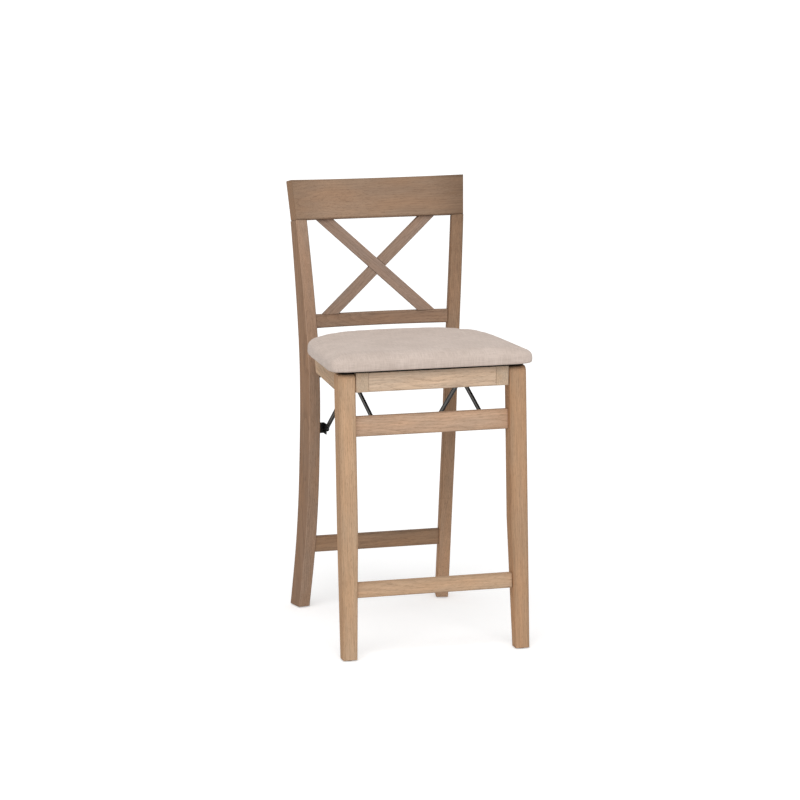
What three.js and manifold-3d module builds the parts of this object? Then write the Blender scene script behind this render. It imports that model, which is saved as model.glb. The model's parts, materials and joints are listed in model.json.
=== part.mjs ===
// Folding bar stool with a cross back, an upholstered seat and steel folding links.
// Millimetres. X runs across the stool, +Y to the rear, +Z up, and the floor is z = 0.
// Inside this file y = 0 is the front of the front feet. The group is centred at the end.

import * as THREE from "three";
import { mergeVertices } from "three/addons/utils/BufferGeometryUtils.js";
import Module from "manifold-3d";

const wasm = await Module();
wasm.setup();

// Driving dimensions
const GAP = 0.4; // between pieces that touch
const RUNNING = 0.25; // round a pin, on the radius
const RAKE = 0.0585; // the front legs lean back this much per millimetre of height
const GLIDE = { height: 2.5, radius: 10 };

const LEG = {
  inner: 199.3,
  outer: 243,
  depth: 43,
  top: 711,
  topRadius: 14,
  taperFrom: 330,
  footWidth: 36,
  footDepth: 33,
  ease: 2.2,
};

const POST = {
  width: 32,
  toeIn: THREE.MathUtils.degToRad(12.1),
  top: 1041.6,
  ease: 2.2,
  // The front edge of the sabre curve, as distance behind the front feet and height
  front: [
    [577, 0],
    [535, 169],
    [505, 338],
    [486, 506],
    [480, 675],
    [489, 844],
    [508, 1012],
    [527, 1125],
  ],
  // Half the width over the two posts, and height
  outer: [
    [206.3, 0],
    [199.8, 200],
    [198.7, 400],
    [203.8, 700],
    [231.3, 1125],
  ],
  // Depth of the section, and height
  depth: [
    [52.9, 0],
    [57.6, 400],
    [53.8, 700],
    [31, 1125],
  ],
};

const CREST = {
  bottom: 1042,
  top: 1143,
  halfBottom: 224.5,
  halfTop: 231,
  frontBottom: 512,
  frontTop: 534,
  thick: 32,
  bow: 14,
  // How much lower the bottom and top edges are in the middle than at the ends
  dipBottom: 1.5,
  dipTop: 3.3,
  ease: 2.5,
};
const CREST_LEAN = Math.atan2(CREST.frontTop - CREST.frontBottom, CREST.top - CREST.bottom);

const BACK_RAIL = { bottom: 760.5, top: 794.2, thick: 20, inset: 3, bow: 12 };
const REAR_STRETCHER = { bottom: 155.7, top: 198.4, thick: 20, inset: 4 };
const CROSS_BAR = {
  front: { bottomX: 122, topX: -153, halfWidth: 23 },
  rear: { bottomX: -137, topX: 139.5, halfWidth: 21 },
  thick: 12,
  frontBottom: 501,
  frontTop: 533,
};

const APRON = { bottom: 669, top: 712.5, front: 43.5, thick: 20, half: 164.6 };
const UPPER_STRETCHER = { bottom: 556.8, top: 605.8, thick: 20, inset: 18 };
const LOWER_STRETCHER = { bottom: 155.6, top: 192.4, thick: 20, inset: 10 };

const SIDE_RAIL = { inner: 165, outer: 197.3, top: 712.5, relief: 697.5 };
const BOARD = { bottom: 712.9, top: 717.9, inset: 12, rear: 425 };
const CUSHION = { bottom: 718.3, top: 762, half: 254, front: 20, rear: 458 };

// Pivots of the fold, as [distance behind the front feet, height]
const SEAT_PIVOT = [403, 690.2];
const LEG_PIVOT = [61.5, 677];
const KNEE = [267.1, 659.1];
const REAR_PIVOT = [509.3, 492.7];
const FRONT_PIVOT = [83.5, 588];
const KNEE_TRAVEL = 73.7;

const PIN = { radius: 4, headRadius: 7, head: 2.2 };
const LINK = { half: 6, thick: 5, eye: 8, groove: 1 };
const REAR_LINK_X = 144.5;
const FRONT_LINK_X = 138.7;
const PLATE = 2.5;
const BRACKET_FOOT = 18;

const OAK = { color: 0xb89a7c, roughness: 0.7 };
const OAK_SHADE = { color: 0xa48468, roughness: 0.7 };
const STEEL = { color: 0x3a3b3c, roughness: 0.45, metalness: 0.8 };
const BLACK = { color: 0x141414, roughness: 0.5, metalness: 0.4 };
const NYLON = { color: 0x2a2826, roughness: 0.6 };
const PLYWOOD = { color: 0x2c2622, roughness: 0.85 };
const LINEN = { color: 0xcdbfb4, roughness: 0.95 };

const stool = new THREE.Group();
const SIDES = [
  ["left", -1],
  ["right", 1],
];

// Piece making

function add(name, geometry, look) {
  const mesh = new THREE.Mesh(geometry, new THREE.MeshStandardMaterial(look));
  mesh.name = name;
  stool.add(mesh);
  return mesh;
}

// A value read off a list of [value, height] pairs along a smooth curve
function along(pairs) {
  const curve = new THREE.SplineCurve(pairs.map(([v, z]) => new THREE.Vector2(v, z)));
  const dense = curve.getPoints(400);
  return (z) => {
    let i = dense.findIndex((p) => p.y >= z);
    i = i < 1 ? (i === 0 ? 1 : dense.length - 1) : i;
    const a = dense[i - 1];
    const b = dense[i];
    return a.x + ((b.x - a.x) * (z - a.y)) / (b.y - a.y);
  };
}

// A closed body through rings of points, all with the same number of points
function loft(rings) {
  const n = rings[0].length;
  const faces = [];
  for (let r = 0; r + 1 < rings.length; r++) {
    for (let i = 0; i < n; i++) {
      const j = (i + 1) % n;
      const a = r * n + i;
      const b = r * n + j;
      faces.push(a, b, b + n, a, b + n, a + n);
    }
  }
  for (let i = 1; i + 1 < n; i++) {
    faces.push(0, i + 1, i);
    const last = (rings.length - 1) * n;
    faces.push(last, last + i, last + i + 1);
  }
  return outward(new Float32Array(rings.flat(2)), faces);
}

// Turns the faces round where a mirrored loft comes out inside out
function outward(positions, faces) {
  const p = (i) => new THREE.Vector3().fromArray(positions, 3 * i);
  let volume = 0;
  for (let i = 0; i < faces.length; i += 3) {
    volume += p(faces[i]).dot(p(faces[i + 1]).cross(p(faces[i + 2])));
  }
  if (volume < 0) {
    for (let i = 0; i < faces.length; i += 3) {
      [faces[i + 1], faces[i + 2]] = [faces[i + 2], faces[i + 1]];
    }
  }
  const geometry = new THREE.BufferGeometry();
  geometry.setAttribute("position", new THREE.BufferAttribute(positions, 3));
  geometry.setIndex(faces);
  return geometry;
}

// A rectangle with its four corners cut off by ease, as eight [u, v] points
function easedRectangle(u0, u1, v0, v1, ease) {
  return [
    [u0 + ease, v0],
    [u1 - ease, v0],
    [u1, v0 + ease],
    [u1, v1 - ease],
    [u1 - ease, v1],
    [u0 + ease, v1],
    [u0, v1 - ease],
    [u0, v0 + ease],
  ];
}

function shapeOf(points) {
  return new THREE.Shape(points.map(([u, v]) => new THREE.Vector2(u, v)));
}

function extrude(shape, depth, curveSegments = 12) {
  return new THREE.ExtrudeGeometry(shape, { depth, bevelEnabled: false, curveSegments });
}

const SIDE_VIEW = new THREE.Matrix4().makeBasis(
  new THREE.Vector3(0, 1, 0),
  new THREE.Vector3(0, 0, 1),
  new THREE.Vector3(1, 0, 0),
);
const FRONT_VIEW = new THREE.Matrix4().makeBasis(
  new THREE.Vector3(1, 0, 0),
  new THREE.Vector3(0, 0, 1),
  new THREE.Vector3(0, -1, 0),
);

// A side-view outline in y and z, carried across from x0 to x1
function acrossX(shape, x0, x1, curveSegments) {
  const low = Math.min(x0, x1);
  return extrude(shape, Math.abs(x1 - x0), curveSegments)
    .applyMatrix4(SIDE_VIEW)
    .translate(low, 0, 0);
}

// A front-view outline in x and z, carried back from y0 to y1
function acrossY(shape, y0, y1) {
  return extrude(shape, y1 - y0).applyMatrix4(FRONT_VIEW).translate(0, y1, 0);
}

function roundBar(radius, x0, x1, [y, z], segments = 24) {
  return new THREE.CylinderGeometry(radius, radius, Math.abs(x1 - x0), segments)
    .rotateZ(Math.PI / 2)
    .translate((x0 + x1) / 2, y, z);
}

// Joining and cutting

function solid(geometry) {
  const plain = geometry.clone();
  plain.deleteAttribute("normal");
  plain.deleteAttribute("uv");
  const merged = mergeVertices(plain, 1e-4);
  return new wasm.Manifold(
    new wasm.Mesh({
      numProp: 3,
      vertProperties: merged.attributes.position.array,
      triVerts: new Uint32Array(merged.index.array),
    }),
  );
}

function geometryOf(body) {
  const { numProp, vertProperties, triVerts } = body.getMesh();
  const geometry = new THREE.BufferGeometry();
  const positions = new Float32Array((vertProperties.length / numProp) * 3);
  for (let i = 0; i < positions.length / 3; i++) {
    positions.set(vertProperties.subarray(i * numProp, i * numProp + 3), i * 3);
  }
  geometry.setAttribute("position", new THREE.BufferAttribute(positions, 3));
  geometry.setIndex(new THREE.BufferAttribute(new Uint32Array(triVerts), 1));
  return geometry;
}

function cut(geometry, ...tools) {
  return geometryOf(tools.reduce((body, tool) => body.subtract(solid(tool)), solid(geometry)));
}

function join(geometry, ...more) {
  return geometryOf(more.reduce((body, piece) => body.add(solid(piece)), solid(geometry)));
}

// Rear frame

const postFront = along(POST.front);
const postOuter = along(POST.outer);
const postDepth = along(POST.depth);
const COS = Math.cos(POST.toeIn);
const SIN = Math.sin(POST.toeIn);

// The point of a post's section that lies u across it from the outer front corner, and v deep
function postPoint(side, z, u, v) {
  return [side * (postOuter(z) - u * COS + v * SIN), postFront(z) + u * SIN + v * COS, z];
}

// The top of a post is cut to the slope of the crest, and the last rings turn to that slope
const SLOPED = 5;

function rearPost(side) {
  const rings = [];
  const count = 30;
  const low = GLIDE.height + GAP;
  for (let i = 0; i <= count; i++) {
    const z = low + ((POST.top - low) * i) / count;
    const outline = easedRectangle(0, POST.width, 0, postDepth(z), POST.ease);
    const slope = Math.tan(CREST_LEAN) * Math.max(0, (i - count + SLOPED) / SLOPED);
    rings.push(outline.map(([u, v]) => postPoint(side, z - slope * (u * SIN + v * COS), u, v)));
  }
  return loft(rings);
}

// How far out the inner face of a post is, at a height and a distance back
function postInner(z, y) {
  const [x, front] = postPoint(1, z, POST.width, 0);
  return x + ((y - front) * SIN) / COS;
}

// A rail between the posts, of an eased section, bowed to the rear in the middle
function railBetweenPosts({ bottom, top, thick, inset, bow = 0 }) {
  const middle = (bottom + top) / 2;
  const front = postPoint(1, middle, POST.width, 0)[1] + inset;
  const lean = (postFront(top) - postFront(bottom)) / (top - bottom);
  const section = easedRectangle(0, thick, bottom, top, 2);
  const stations = bow ? 12 : 1;
  const rings = [];
  for (let i = 0; i <= stations; i++) {
    const t = (2 * i) / stations - 1;
    rings.push(
      section.map(([v, z]) => {
        const y = front + v + lean * (z - middle);
        const x = t * (postInner(z, y) - GAP);
        return [x, y + bow * (1 - t * t), z];
      }),
    );
  }
  return loft(rings);
}

// The crest is a board that leans back, with its edges square to its face, bowed between the posts
function crestRail() {
  const { bottom, frontBottom, frontTop, top, thick, bow, dipBottom, dipTop } = CREST;
  const height = Math.hypot(frontTop - frontBottom, top - bottom);
  const section = easedRectangle(0, thick, 0, height, CREST.ease);
  const stations = 16;
  const rings = [];
  for (let i = 0; i <= stations; i++) {
    const t = (2 * i) / stations - 1;
    const middle = 1 - t * t;
    rings.push(
      section.map(([depth, rise]) => {
        const up = rise / height;
        const back = depth * Math.cos(CREST_LEAN);
        const half = CREST.halfBottom + (CREST.halfTop - CREST.halfBottom) * up;
        const dip = dipBottom + (dipTop - dipBottom) * up;
        return [
          t * (half + (back * SIN) / COS),
          frontBottom + rise * Math.sin(CREST_LEAN) + back + bow * middle,
          bottom + rise * Math.cos(CREST_LEAN) - depth * Math.sin(CREST_LEAN) - dip * middle,
        ];
      }),
    );
  }
  return loft(rings);
}

const BAR_OVERRUN = 4;

// One bar of the cross, or the shape that lets the other bar through when it is widened
function crossBar({ bottomX, topX, halfWidth }, y0, y1, widen = 0) {
  const low = BACK_RAIL.top + GAP;
  const high = CREST.bottom + BAR_OVERRUN;
  const w = halfWidth + widen;
  const outline = shapeOf([
    [bottomX - w, low],
    [bottomX + w, low],
    [topX + w, high],
    [topX - w, high],
  ]);
  const slope = (CROSS_BAR.frontTop - CROSS_BAR.frontBottom) / (high - low);
  const lean = new THREE.Matrix4().set(
    1, 0, 0, 0,
    0, 1, slope, CROSS_BAR.frontBottom - slope * low,
    0, 0, 1, 0,
    0, 0, 0, 1,
  );
  return acrossY(outline, y0, y1).applyMatrix4(lean);
}

const { thick } = CROSS_BAR;
const LAP = 0.8; // widens the notches of the half lap

const underCrest = crestRail().translate(0, 0, -GAP);

for (const [name, side] of SIDES) {
  add(`rear_post_${name}`, rearPost(side), OAK_SHADE);
}
add("crest_rail", crestRail(), OAK_SHADE);
add("lower_back_rail", railBetweenPosts(BACK_RAIL), OAK_SHADE);
add("rear_stretcher", railBetweenPosts(REAR_STRETCHER), OAK_SHADE);
add(
  "cross_bar_front",
  cut(crossBar(CROSS_BAR.front, 0, thick), crossBar(CROSS_BAR.rear, thick / 2, thick + 1, LAP), underCrest),
  OAK_SHADE,
);
add(
  "cross_bar_rear",
  cut(crossBar(CROSS_BAR.rear, 0, thick), crossBar(CROSS_BAR.front, -1, thick / 2 + GAP, LAP), underCrest),
  OAK_SHADE,
);

// Front leg frame

function legFront(z) {
  return RAKE * z;
}

function frontLeg(side) {
  const heights = [GLIDE.height + GAP, LEG.taperFrom, LEG.top - LEG.topRadius];
  const roundSteps = 5;
  for (let i = 1; i <= roundSteps; i++) {
    heights.push(LEG.top - LEG.topRadius * (1 - Math.sin((i * Math.PI) / 2 / roundSteps)));
  }
  const rings = heights.map((z) => {
    const taper = Math.max(0, 1 - z / LEG.taperFrom);
    const width = LEG.outer - LEG.inner;
    const inner = LEG.inner + (width - LEG.footWidth) * taper;
    const depth = LEG.depth - (LEG.depth - LEG.footDepth) * taper;
    const over = Math.max(0, z - (LEG.top - LEG.topRadius));
    const inset = LEG.topRadius - Math.sqrt(LEG.topRadius ** 2 - over ** 2);
    const outline = easedRectangle(inner, LEG.outer, inset, depth - inset, LEG.ease);
    return outline.map(([x, y]) => [side * x, legFront(z) + y, z]);
  });
  return loft(rings);
}

// A stretcher between the front legs, leaning with them
function frontStretcher({ bottom, top, thick, inset }) {
  const outline = easedRectangle(inset, inset + thick, bottom, top, 2).map(([y, z]) => [
    legFront(z) + y,
    z,
  ]);
  const taper = Math.max(0, 1 - (bottom + top) / 2 / LEG.taperFrom);
  const width = LEG.outer - LEG.inner;
  const reach = LEG.inner + (width - LEG.footWidth) * taper * 0.75 - GAP;
  return acrossX(shapeOf(outline), -reach, reach);
}

// Where the front link lies against the folded frame, the upper stretcher is cut away
function linkRecess(side) {
  const z = UPPER_STRETCHER.bottom;
  const rear = legFront(z) + UPPER_STRETCHER.inset + UPPER_STRETCHER.thick;
  const outline = shapeOf([
    [rear - 9, z - 2],
    [rear + 4, z - 2],
    [rear + 4, z + 30],
    [rear, z + 30],
  ]);
  const near = FRONT_LINK_X - 2;
  return acrossX(outline, side * near, side * (near + LINK.thick + 3.4));
}

function glide(x, y) {
  return new THREE.CylinderGeometry(GLIDE.radius, GLIDE.radius - 1, GLIDE.height, 24)
    .rotateX(Math.PI / 2)
    .translate(x, y, GLIDE.height / 2);
}

const FRONT_FOOT = [LEG.outer - LEG.footWidth / 2, LEG.footDepth / 2];

for (const [name, side] of SIDES) {
  const hole = roundBar(PIN.radius + RUNNING, side * (LEG.inner - 5), side * (LEG.inner + 26), LEG_PIVOT);
  add(`front_leg_${name}`, cut(frontLeg(side), hole), OAK);
}
add(
  "upper_front_stretcher",
  cut(frontStretcher(UPPER_STRETCHER), linkRecess(-1), linkRecess(1)),
  OAK,
);
add("lower_front_stretcher", frontStretcher(LOWER_STRETCHER), OAK);

for (const [name, side] of SIDES) {
  add(`front_glide_${name}`, glide(side * FRONT_FOOT[0], FRONT_FOOT[1]), NYLON);
  const [x, y] = postPoint(side, 0, POST.width / 2, POST.depth[0][0] / 2);
  add(`rear_glide_${name}`, glide(x, y), NYLON);
}

// Seat frame

// Each side rail is cut away underneath, where the upper stretcher lies when the stool is folded,
// and is deep behind that, where the knee of the links runs
function sideRailOutline() {
  const { top, relief } = SIDE_RAIL;
  const shape = new THREE.Shape();
  shape.moveTo(APRON.front, APRON.bottom);
  shape.lineTo(108, APRON.bottom);
  shape.quadraticCurveTo(119, APRON.bottom, 121, relief - 12);
  shape.quadraticCurveTo(123, relief, 134, relief);
  shape.lineTo(234, relief);
  shape.quadraticCurveTo(248, relief, 248, relief - 14);
  shape.lineTo(248, 646);
  shape.quadraticCurveTo(248, 643, 251, 643.2);
  shape.lineTo(419, 655.6);
  shape.quadraticCurveTo(425, 656, 428, 662);
  shape.lineTo(438, 690);
  shape.lineTo(438, top);
  shape.lineTo(APRON.front, top);
  return shape;
}

function sideRail(side) {
  const body = acrossX(sideRailOutline(), side * SIDE_RAIL.inner, side * SIDE_RAIL.outer, 5);
  const legHole = roundBar(PIN.radius + RUNNING, side * (SIDE_RAIL.outer - 24), side * 205, LEG_PIVOT);
  const seatHole = roundBar(PIN.radius + RUNNING, side * 160, side * (SIDE_RAIL.inner + 24), SEAT_PIVOT);
  return cut(body, legHole, seatHole);
}

// The cushion's outline from above: nearly square corners in front, wide round ones behind
function cushionPlan(inset = 0) {
  const { half: w, front, rear } = CUSHION;
  const path = new THREE.Path();
  const cornerFront = 24;
  const cornerRear = 160;
  path.moveTo(0, front);
  path.quadraticCurveTo(w / 2, front, w - cornerFront, front + 3);
  path.quadraticCurveTo(w - 1, front + 4, w, front + cornerFront + 4);
  path.lineTo(w, rear - cornerRear - 40);
  path.bezierCurveTo(w, rear - 74, w - 58, rear - 9, w - cornerRear, rear - 3);
  path.lineTo(0, rear);
  const right = path.getPoints(8);
  const left = right.slice(1, -1).reverse();
  const outline = [...right.map((p) => [p.x, p.y]), ...left.map((p) => [-p.x, p.y])];
  return drawnIn(outline, inset);
}

// An outline from above made smaller about the middle of the cushion
function drawnIn(outline, inset) {
  const centre = (CUSHION.front + CUSHION.rear) / 2;
  const k = 1 - inset / CUSHION.half;
  return outline.map(([x, y]) => [x * k, centre + (y - centre) * k]);
}

// Rings of the cushion, as height and how far they are drawn in
const CUSHION_RINGS = [
  [0, 5.5],
  [3.5, 2],
  [9, 0.3],
  [16, 0],
  [24, 2],
  [31, 8],
  [36.5, 20],
  [40.5, 44],
  [42.6, 90],
  [43.7, 160],
];

function cushion() {
  const plan = cushionPlan();
  return loft(
    CUSHION_RINGS.map(([up, inset]) => drawnIn(plan, inset).map(([x, y]) => [x, y, CUSHION.bottom + up])),
  );
}

function seatBoard() {
  const outline = shapeOf(cushionPlan(BOARD.inset).map(([x, y]) => [x, Math.min(y, BOARD.rear)]));
  return extrude(outline, BOARD.top - BOARD.bottom).translate(0, 0, BOARD.bottom);
}

function cornerBlock(side) {
  const x = side * (SIDE_RAIL.inner - GAP);
  const y = APRON.front + APRON.thick + GAP;
  const legs = 34;
  const shape = shapeOf([
    [x, y],
    [x, y + legs],
    [x - side * 8, y + legs],
    [x - side * legs, y + 8],
    [x - side * legs, y],
  ]);
  return extrude(shape, 22).translate(0, 0, APRON.top - 22);
}

for (const [name, side] of SIDES) {
  add(`side_rail_${name}`, sideRail(side), OAK);
  add(`corner_block_${name}`, cornerBlock(side), OAK_SHADE);
}
add(
  "apron",
  acrossX(
    shapeOf(easedRectangle(APRON.front, APRON.front + APRON.thick, APRON.bottom, APRON.top, 1.2)),
    -APRON.half,
    APRON.half,
  ),
  OAK,
);
add(
  "seat_batten",
  acrossX(shapeOf(easedRectangle(350, 378, 692.3, APRON.top, 1.2)), -APRON.half, APRON.half),
  OAK_SHADE,
);
add("seat_board", seatBoard(), PLYWOOD);
add("seat_cushion", cushion(), LINEN);

// Hinge arms, which carry the seat in front of the rear posts

const ARM = { inner: 156, outer: 160.5, half: 12, low: 629.5, high: 646 };

function hingeArm(side) {
  const [y, z] = SEAT_PIVOT;
  const shape = new THREE.Shape();
  shape.moveTo(y - ARM.half, ARM.low + 10);
  shape.quadraticCurveTo(y - ARM.half, ARM.low, y - 2, ARM.low);
  shape.lineTo(536, ARM.low);
  shape.lineTo(536, ARM.high);
  shape.lineTo(y + ARM.half + 8, ARM.high);
  shape.quadraticCurveTo(y + ARM.half, ARM.high, y + ARM.half, ARM.high + 8);
  shape.lineTo(y + ARM.half, z);
  shape.absarc(y, z, ARM.half, 0, Math.PI, false);
  const arm = acrossX(shape, side * ARM.inner, side * ARM.outer, 10);
  // The foot of the arm fills the space to the slanting inner face of the post
  const z0 = ARM.low;
  const z1 = ARM.high;
  const reach = (yy) => side * (Math.min(postInner(z0, yy), postInner(z1, yy)) - GAP);
  const foot = extrude(
    shapeOf([
      [side * (ARM.outer - 1), 502],
      [reach(502), 502],
      [reach(536), 536],
      [side * (ARM.outer - 1), 536],
    ]),
    z1 - z0,
  ).translate(0, 0, z0);
  const hole = roundBar(PIN.radius + RUNNING, side * 150, side * 164, SEAT_PIVOT);
  return cut(join(arm, foot), hole);
}

// A pin with a flat head at its inner end
function headedPin(side, inner, outer, at, radius = PIN.radius) {
  const shank = roundBar(radius, side * inner, side * outer, at);
  const head = roundBar(PIN.headRadius, side * (inner - PIN.head), side * (inner + 0.01), at);
  return join(shank, head);
}

function washer(side, inner, outer, at) {
  const ring = roundBar(PIN.radius + 5, side * inner, side * outer, at);
  return cut(ring, roundBar(PIN.radius + RUNNING, side * (inner - 1), side * (outer + 1), at));
}

for (const [name, side] of SIDES) {
  add(`hinge_arm_${name}`, hingeArm(side), BLACK);
  add(
    `seat_pivot_pin_${name}`,
    headedPin(side, ARM.inner - GAP, SIDE_RAIL.inner + 22, SEAT_PIVOT),
    STEEL,
  );
  add(`seat_pivot_washer_${name}`, washer(side, ARM.outer + GAP, SIDE_RAIL.inner - GAP, SEAT_PIVOT), NYLON);
  add(
    `leg_pivot_pin_${name}`,
    roundBar(PIN.radius, side * (SIDE_RAIL.outer - 23), side * (LEG.inner + 25), LEG_PIVOT),
    STEEL,
  );
  add(`leg_pivot_washer_${name}`, washer(side, SIDE_RAIL.outer + GAP, LEG.inner - GAP, LEG_PIVOT), NYLON);
}

// Folding links

// A pressed link with an eye at each end and a groove along both faces
function link(side, x, from, to) {
  const [y0, z0] = from;
  const length = Math.hypot(to[0] - y0, to[1] - z0);
  const angle = Math.atan2(to[1] - z0, to[0] - y0);
  const { half: w, eye } = LINK;
  const turn = Math.asin(w / eye);
  const shape = new THREE.Shape();
  shape.absarc(0, 0, eye, turn, 2 * Math.PI - turn, false);
  shape.absarc(length, 0, eye, Math.PI + turn, 3 * Math.PI - turn, false);
  for (const u of [0, length]) {
    const hole = new THREE.Path();
    hole.absarc(u, 0, PIN.radius - 1 + RUNNING, 0, 2 * Math.PI, true);
    shape.holes.push(hole);
  }
  const place = (geometry) => {
    geometry.rotateZ(angle).translate(y0, z0, 0).applyMatrix4(SIDE_VIEW);
    return geometry.translate(side > 0 ? x : -x - LINK.thick, 0, 0);
  };
  const grooveShape = shapeOf(easedRectangle(eye + 6, length - eye - 6, -w + 1.8, w - 1.8, 1.5));
  const near = place(extrude(grooveShape, LINK.groove + 1).translate(0, 0, -1));
  const far = place(extrude(grooveShape, LINK.groove + 1).translate(0, 0, LINK.thick - LINK.groove));
  return cut(place(extrude(shape, LINK.thick, 8)), near, far);
}

// The rear bracket is bent from one strip: an ear beside the link, a step, and a foot on the post
function rearBracket(side) {
  const ear = REAR_LINK_X + LINK.thick + GAP;
  const [y, z] = REAR_PIVOT;
  const low = z - 14;
  const high = z + 14;
  const bend = y + 13;
  const foot = (yy) => Math.min(postInner(low, yy), postInner(high, yy)) - GAP;
  const outline = [
    [ear, y - 11],
    [ear + PLATE, y - 11],
    [ear + PLATE, bend],
    [foot(bend), bend],
    [foot(bend + 26), bend + 26],
    [foot(bend + 26) - PLATE, bend + 26],
    [foot(bend + PLATE) - PLATE, bend + PLATE],
    [ear, bend + PLATE],
  ];
  const body = extrude(shapeOf(outline.map(([x, v]) => [side * x, v])), high - low).translate(0, 0, low);
  return cut(body, roundBar(PIN.radius - 1 + RUNNING, side * (ear - 2), side * (ear + 6), REAR_PIVOT));
}

// The front bracket is an angle: a foot on the back of the stretcher and an ear beside the link
function frontBracket(side) {
  const ear = FRONT_LINK_X + LINK.thick + GAP;
  const [y, z] = FRONT_PIVOT;
  const back = (h) => legFront(h) + UPPER_STRETCHER.inset + UPPER_STRETCHER.thick + GAP;
  const low = z - 10;
  const high = z + 12;
  const earShape = new THREE.Shape();
  earShape.moveTo(back(low), low);
  earShape.lineTo(y + 2, low);
  earShape.lineTo(y + 6, z - 4);
  earShape.absarc(y, z, 6.5, -0.6, Math.PI / 2, false);
  earShape.lineTo(back(high), high);
  const footShape = shapeOf([
    [back(low), low],
    [back(low) + PLATE, low],
    [back(high) + PLATE, high],
    [back(high), high],
  ]);
  const body = join(
    acrossX(earShape, side * ear, side * (ear + PLATE), 6),
    acrossX(footShape, side * ear, side * (ear + BRACKET_FOOT)),
  );
  return cut(body, roundBar(PIN.radius - 1 + RUNNING, side * (ear - 2), side * (ear + 6), FRONT_PIVOT));
}

// The knee runs in a channel along the inside of the side rail
const TRACK = { half: 9, wall: 2, depth: 10.5, inner: SIDE_RAIL.inner - GAP };

function slideTrack(side) {
  const [y, z] = KNEE;
  const { half: h, wall, depth, inner } = TRACK;
  const profile = shapeOf([
    [side * inner, z - h],
    [side * inner, z + h],
    [side * (inner - depth), z + h],
    [side * (inner - depth), z + h - wall],
    [side * (inner - wall), z + h - wall],
    [side * (inner - wall), z - h + wall],
    [side * (inner - depth), z - h + wall],
    [side * (inner - depth), z - h],
  ]);
  return acrossY(profile, y - 9, y + KNEE_TRAVEL + 9);
}

function kneeSlider(side) {
  const [y, z] = KNEE;
  const reach = TRACK.half - TRACK.wall - GAP;
  const outer = TRACK.inner - TRACK.wall - GAP;
  const inner = TRACK.inner - TRACK.depth + 1;
  const block = acrossX(
    shapeOf(easedRectangle(y - 8, y + 8, z - reach, z + reach, 1.5)),
    side * inner,
    side * outer,
  );
  const stub = roundBar(PIN.radius - 1, side * (REAR_LINK_X + LINK.thick + GAP), side * (inner + 1), KNEE);
  return join(block, stub);
}

for (const [name, side] of SIDES) {
  add(`rear_link_${name}`, link(side, REAR_LINK_X, REAR_PIVOT, KNEE), STEEL);
  add(`front_link_${name}`, link(side, FRONT_LINK_X, FRONT_PIVOT, KNEE), STEEL);
  add(`rear_link_bracket_${name}`, rearBracket(side), BLACK);
  add(`front_link_bracket_${name}`, frontBracket(side), BLACK);
  add(
    `rear_link_rivet_${name}`,
    headedPin(side, REAR_LINK_X - GAP, REAR_LINK_X + LINK.thick + GAP + PLATE + 1.5, REAR_PIVOT, 3),
    BLACK,
  );
  add(
    `front_link_rivet_${name}`,
    headedPin(side, FRONT_LINK_X - GAP, FRONT_LINK_X + LINK.thick + GAP + PLATE + 1.5, FRONT_PIVOT, 3),
    BLACK,
  );
  add(
    `knee_rivet_${name}`,
    headedPin(side, FRONT_LINK_X - GAP, FRONT_LINK_X + LINK.thick, KNEE, 3),
    BLACK,
  );
  add(`slide_track_${name}`, slideTrack(side), STEEL);
  add(`knee_slider_${name}`, kneeSlider(side), NYLON);
}

// The part's origin is on the floor, in the middle of the stool
const box = new THREE.Box3().setFromObject(stool);
stool.position.y = -(box.min.y + box.max.y) / 2;

export default stool;
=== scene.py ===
"""A folding bar stool of washed oak, with a cross back, a linen seat pad and steel folding links.

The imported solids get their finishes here. The seat's frame and board and the front legs are shown
by copies with raised tops, the seat pad is swelled by a cloth simulation, and screws and staples
too small for the solids are added.
"""

import json
import math

import bmesh
import bpy
from mathutils import Matrix, Vector
from mathutils.bvhtree import BVHTree


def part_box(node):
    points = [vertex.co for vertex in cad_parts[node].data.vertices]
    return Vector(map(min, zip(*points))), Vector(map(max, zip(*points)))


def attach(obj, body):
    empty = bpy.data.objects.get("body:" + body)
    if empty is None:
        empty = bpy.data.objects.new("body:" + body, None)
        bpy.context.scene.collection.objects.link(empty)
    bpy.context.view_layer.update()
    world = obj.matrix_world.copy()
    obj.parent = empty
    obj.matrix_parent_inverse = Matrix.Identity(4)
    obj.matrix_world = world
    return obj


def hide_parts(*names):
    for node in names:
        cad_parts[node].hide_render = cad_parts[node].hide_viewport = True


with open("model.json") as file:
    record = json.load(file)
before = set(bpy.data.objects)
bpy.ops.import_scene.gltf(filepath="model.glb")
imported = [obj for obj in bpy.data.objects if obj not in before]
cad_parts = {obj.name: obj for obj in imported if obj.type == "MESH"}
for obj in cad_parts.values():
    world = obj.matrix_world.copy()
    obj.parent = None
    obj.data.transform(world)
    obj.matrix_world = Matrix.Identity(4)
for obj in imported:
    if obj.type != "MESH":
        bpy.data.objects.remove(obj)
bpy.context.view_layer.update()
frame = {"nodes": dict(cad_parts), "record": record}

MM = 0.001
NODES = frame["nodes"]
SIDES = (("left", -1), ("right", 1))


# Camera, light and floor

# Where the photo was taken from, in metres and degrees, as solved from it
CAMERA_PLACE = (-2.380, -8.0872, 2.112)
CAMERA_YAW = 16.37
CAMERA_PITCH = 10.21
FOCAL_PIXELS = 3349
PICTURE_PIXELS = 800
SENSOR = 36.0
VIEW_END = 200


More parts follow.
